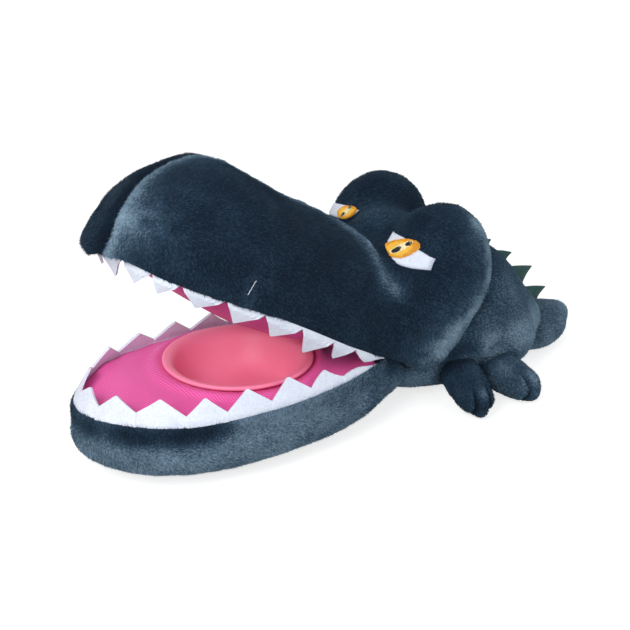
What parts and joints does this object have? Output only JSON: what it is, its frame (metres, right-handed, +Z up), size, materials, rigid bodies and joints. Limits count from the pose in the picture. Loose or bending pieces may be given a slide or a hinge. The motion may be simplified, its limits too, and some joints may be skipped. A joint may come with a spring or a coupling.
{
  "type": "plush crocodile",
  "caption": "Stuffed plush crocodile lying on its belly, with felt teeth, a hinged head and a round food bowl set in its open lower jaw.",
  "frame": {"origin": "the middle of the bounding box on the surface that the toy lies on", "axes": "+Z up, the snout towards -X and the tail towards +X, the animal's left side towards -Y"},
  "size_m": [0.429, 0.1818, 0.2006],
  "materials": {
    "plush": "short dense pile, dark slate blue, paler where the nap catches light",
    "white_felt": "matte white felt",
    "green_felt": "matte dark green felt",
    "pink_mesh": "fine pink mesh cloth",
    "pink_plastic": "smooth satin pink",
    "yellow_thread": "satin stitch",
    "black_thread": "satin stitch"
  },
  "bodies": {
    "torso_and_jaw": {"lower_jaw": "plush", "bowl_pocket": "pink_mesh", "lower_lining": "pink_mesh", "lower_teeth": "white_felt", "throat_lining": "pink_mesh", "torso": "plush", "back_spike_1": "green_felt", "back_spike_2": "green_felt", "back_spike_3": "green_felt", "back_spike_4": "green_felt"},
    "head": {"head": "plush", "palate_lining": "pink_mesh", "upper_teeth": "white_felt", "left_eye_lobe": "plush", "right_eye_lobe": "plush", "left_eye_patch": "white_felt", "left_iris": "yellow_thread", "left_pupil": "black_thread", "right_eye_patch": "white_felt", "right_iris": "yellow_thread", "right_pupil": "black_thread"},
    "bowl": {"bowl": "pink_plastic"},
    "tail": {"tail": "plush"},
    "front_left_leg": {"front_left_leg": "plush"},
    "front_right_leg": {"front_right_leg": "plush"},
    "rear_left_leg": {"rear_left_leg": "plush"},
    "rear_right_leg": {"rear_right_leg": "plush"}
  },
  "joints": [
    {"name": "mouth_hinge", "type": "hinge", "parent": "torso_and_jaw", "child": "head", "pos_m": [-0.0095, 0, 0.054], "axis": [0, 1, 0], "range_deg": [-8, 6], "stiffness_Nm_per_rad": 6, "springref_deg": 1.15},
    {"name": "bowl_lift", "type": "slide", "parent": "torso_and_jaw", "child": "bowl", "axis": [0, 0, 1], "range_m": [0, 0.005]},
    {"name": "tail_wag", "type": "hinge", "parent": "torso_and_jaw", "child": "tail", "pos_m": [0.1565, 0, 0], "axis": [0, 0, 1], "range_deg": [-15, 15], "stiffness_Nm_per_rad": 0.06},
    {"name": "front_left_leg_lift", "type": "hinge", "parent": "torso_and_jaw", "child": "front_left_leg", "pos_m": [0.0635, -0.047, 0.03], "axis": [-1, 0, 0], "range_deg": [0, 20], "stiffness_Nm_per_rad": 0.03},
    {"name": "front_right_leg_lift", "type": "hinge", "parent": "torso_and_jaw", "child": "front_right_leg", "pos_m": [0.0635, 0.047, 0.03], "axis": [1, 0, 0], "range_deg": [0, 20], "stiffness_Nm_per_rad": 0.03},
    {"name": "rear_left_leg_lift", "type": "hinge", "parent": "torso_and_jaw", "child": "rear_left_leg", "pos_m": [0.0915, -0.047, 0.022], "axis": [-1, 0, 0], "range_deg": [0, 20], "stiffness_Nm_per_rad": 0.03},
    {"name": "rear_right_leg_lift", "type": "hinge", "parent": "torso_and_jaw", "child": "rear_right_leg", "pos_m": [0.0915, 0.047, 0.022], "axis": [1, 0, 0], "range_deg": [0, 20], "stiffness_Nm_per_rad": 0.03}
  ]
}
